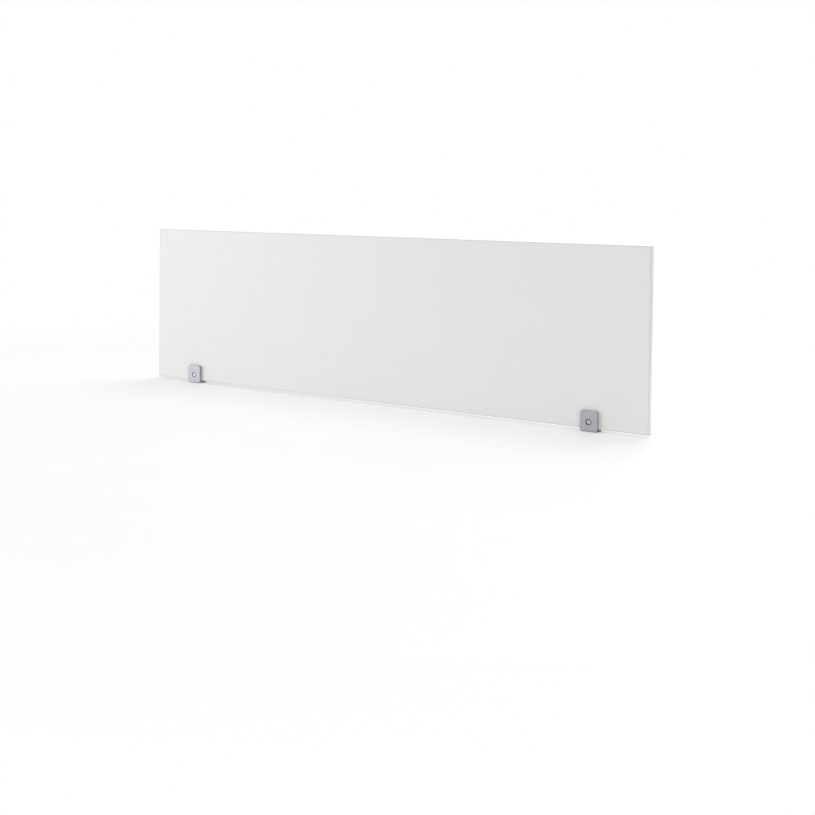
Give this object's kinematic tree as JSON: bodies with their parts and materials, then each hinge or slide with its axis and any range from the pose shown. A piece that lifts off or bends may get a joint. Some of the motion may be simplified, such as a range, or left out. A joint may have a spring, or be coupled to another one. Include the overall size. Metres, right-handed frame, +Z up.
{
  "type": "desk privacy panel",
  "caption": "White laminated board that stands upright on a desk in silver-grey U-shaped screw clamps, raised on rubber pads.",
  "frame": {"origin": "on the desk surface, midway between the two clamps and on the board's middle plane", "axes": "+X along the board's width, -Y to the front where the clamp screws are, +Z up"},
  "size_m": [1.25, 0.025, 0.355],
  "materials": {
    "board_core": "raw pressed wood chips",
    "laminate": "fine pearl-textured white melamine",
    "edge_band": "smooth satin white",
    "silver_paint": "silver-grey powder coat",
    "dark_steel": "blackened, turned",
    "zinc_steel": "bright zinc plate, turned face",
    "nylon": "natural nylon, smooth",
    "rubber": "matt black"
  },
  "bodies": {
    "board_and_clamps": {"board_core": "board_core", "front_laminate": "laminate", "rear_laminate": "laminate", "top_edge_band": "edge_band", "bottom_edge_band": "edge_band", "left_edge_band": "edge_band", "right_edge_band": "edge_band", "left_clamp_body": "silver_paint", "left_threaded_bush": "dark_steel", "left_rear_pad": "rubber", "left_seat_pad": "rubber", "left_base_pad": "rubber", "right_clamp_body": "silver_paint", "right_threaded_bush": "dark_steel", "right_rear_pad": "rubber", "right_seat_pad": "rubber", "right_base_pad": "rubber"},
    "left_pad": {"left_pressure_pad": "nylon"},
    "left_screw": {"left_clamp_screw": "zinc_steel"},
    "right_pad": {"right_pressure_pad": "nylon"},
    "right_screw": {"right_clamp_screw": "zinc_steel"}
  },
  "joints": [
    {"name": "left_clamp_advance", "type": "slide", "parent": "board_and_clamps", "child": "left_pad", "axis": [0, -1, 0], "range_m": [0, 0.001]},
    {"name": "left_clamp_turn", "type": "hinge", "parent": "left_pad", "child": "left_screw", "pos_m": [-0.506, -0.0125, 0.01825], "axis": [0, -1, 0], "range_deg": [0, 360]},
    {"name": "right_clamp_advance", "type": "slide", "parent": "board_and_clamps", "child": "right_pad", "axis": [0, -1, 0], "range_m": [0, 0.001]},
    {"name": "right_clamp_turn", "type": "hinge", "parent": "right_pad", "child": "right_screw", "pos_m": [0.506, -0.0125, 0.01825], "axis": [0, -1, 0], "range_deg": [0, 360]}
  ],
  "couplings": [
    {"joint": "left_clamp_turn", "follows": "left_clamp_advance", "rad_per_m": 6283.2},
    {"joint": "right_clamp_turn", "follows": "right_clamp_advance", "rad_per_m": 6283.2}
  ]
}
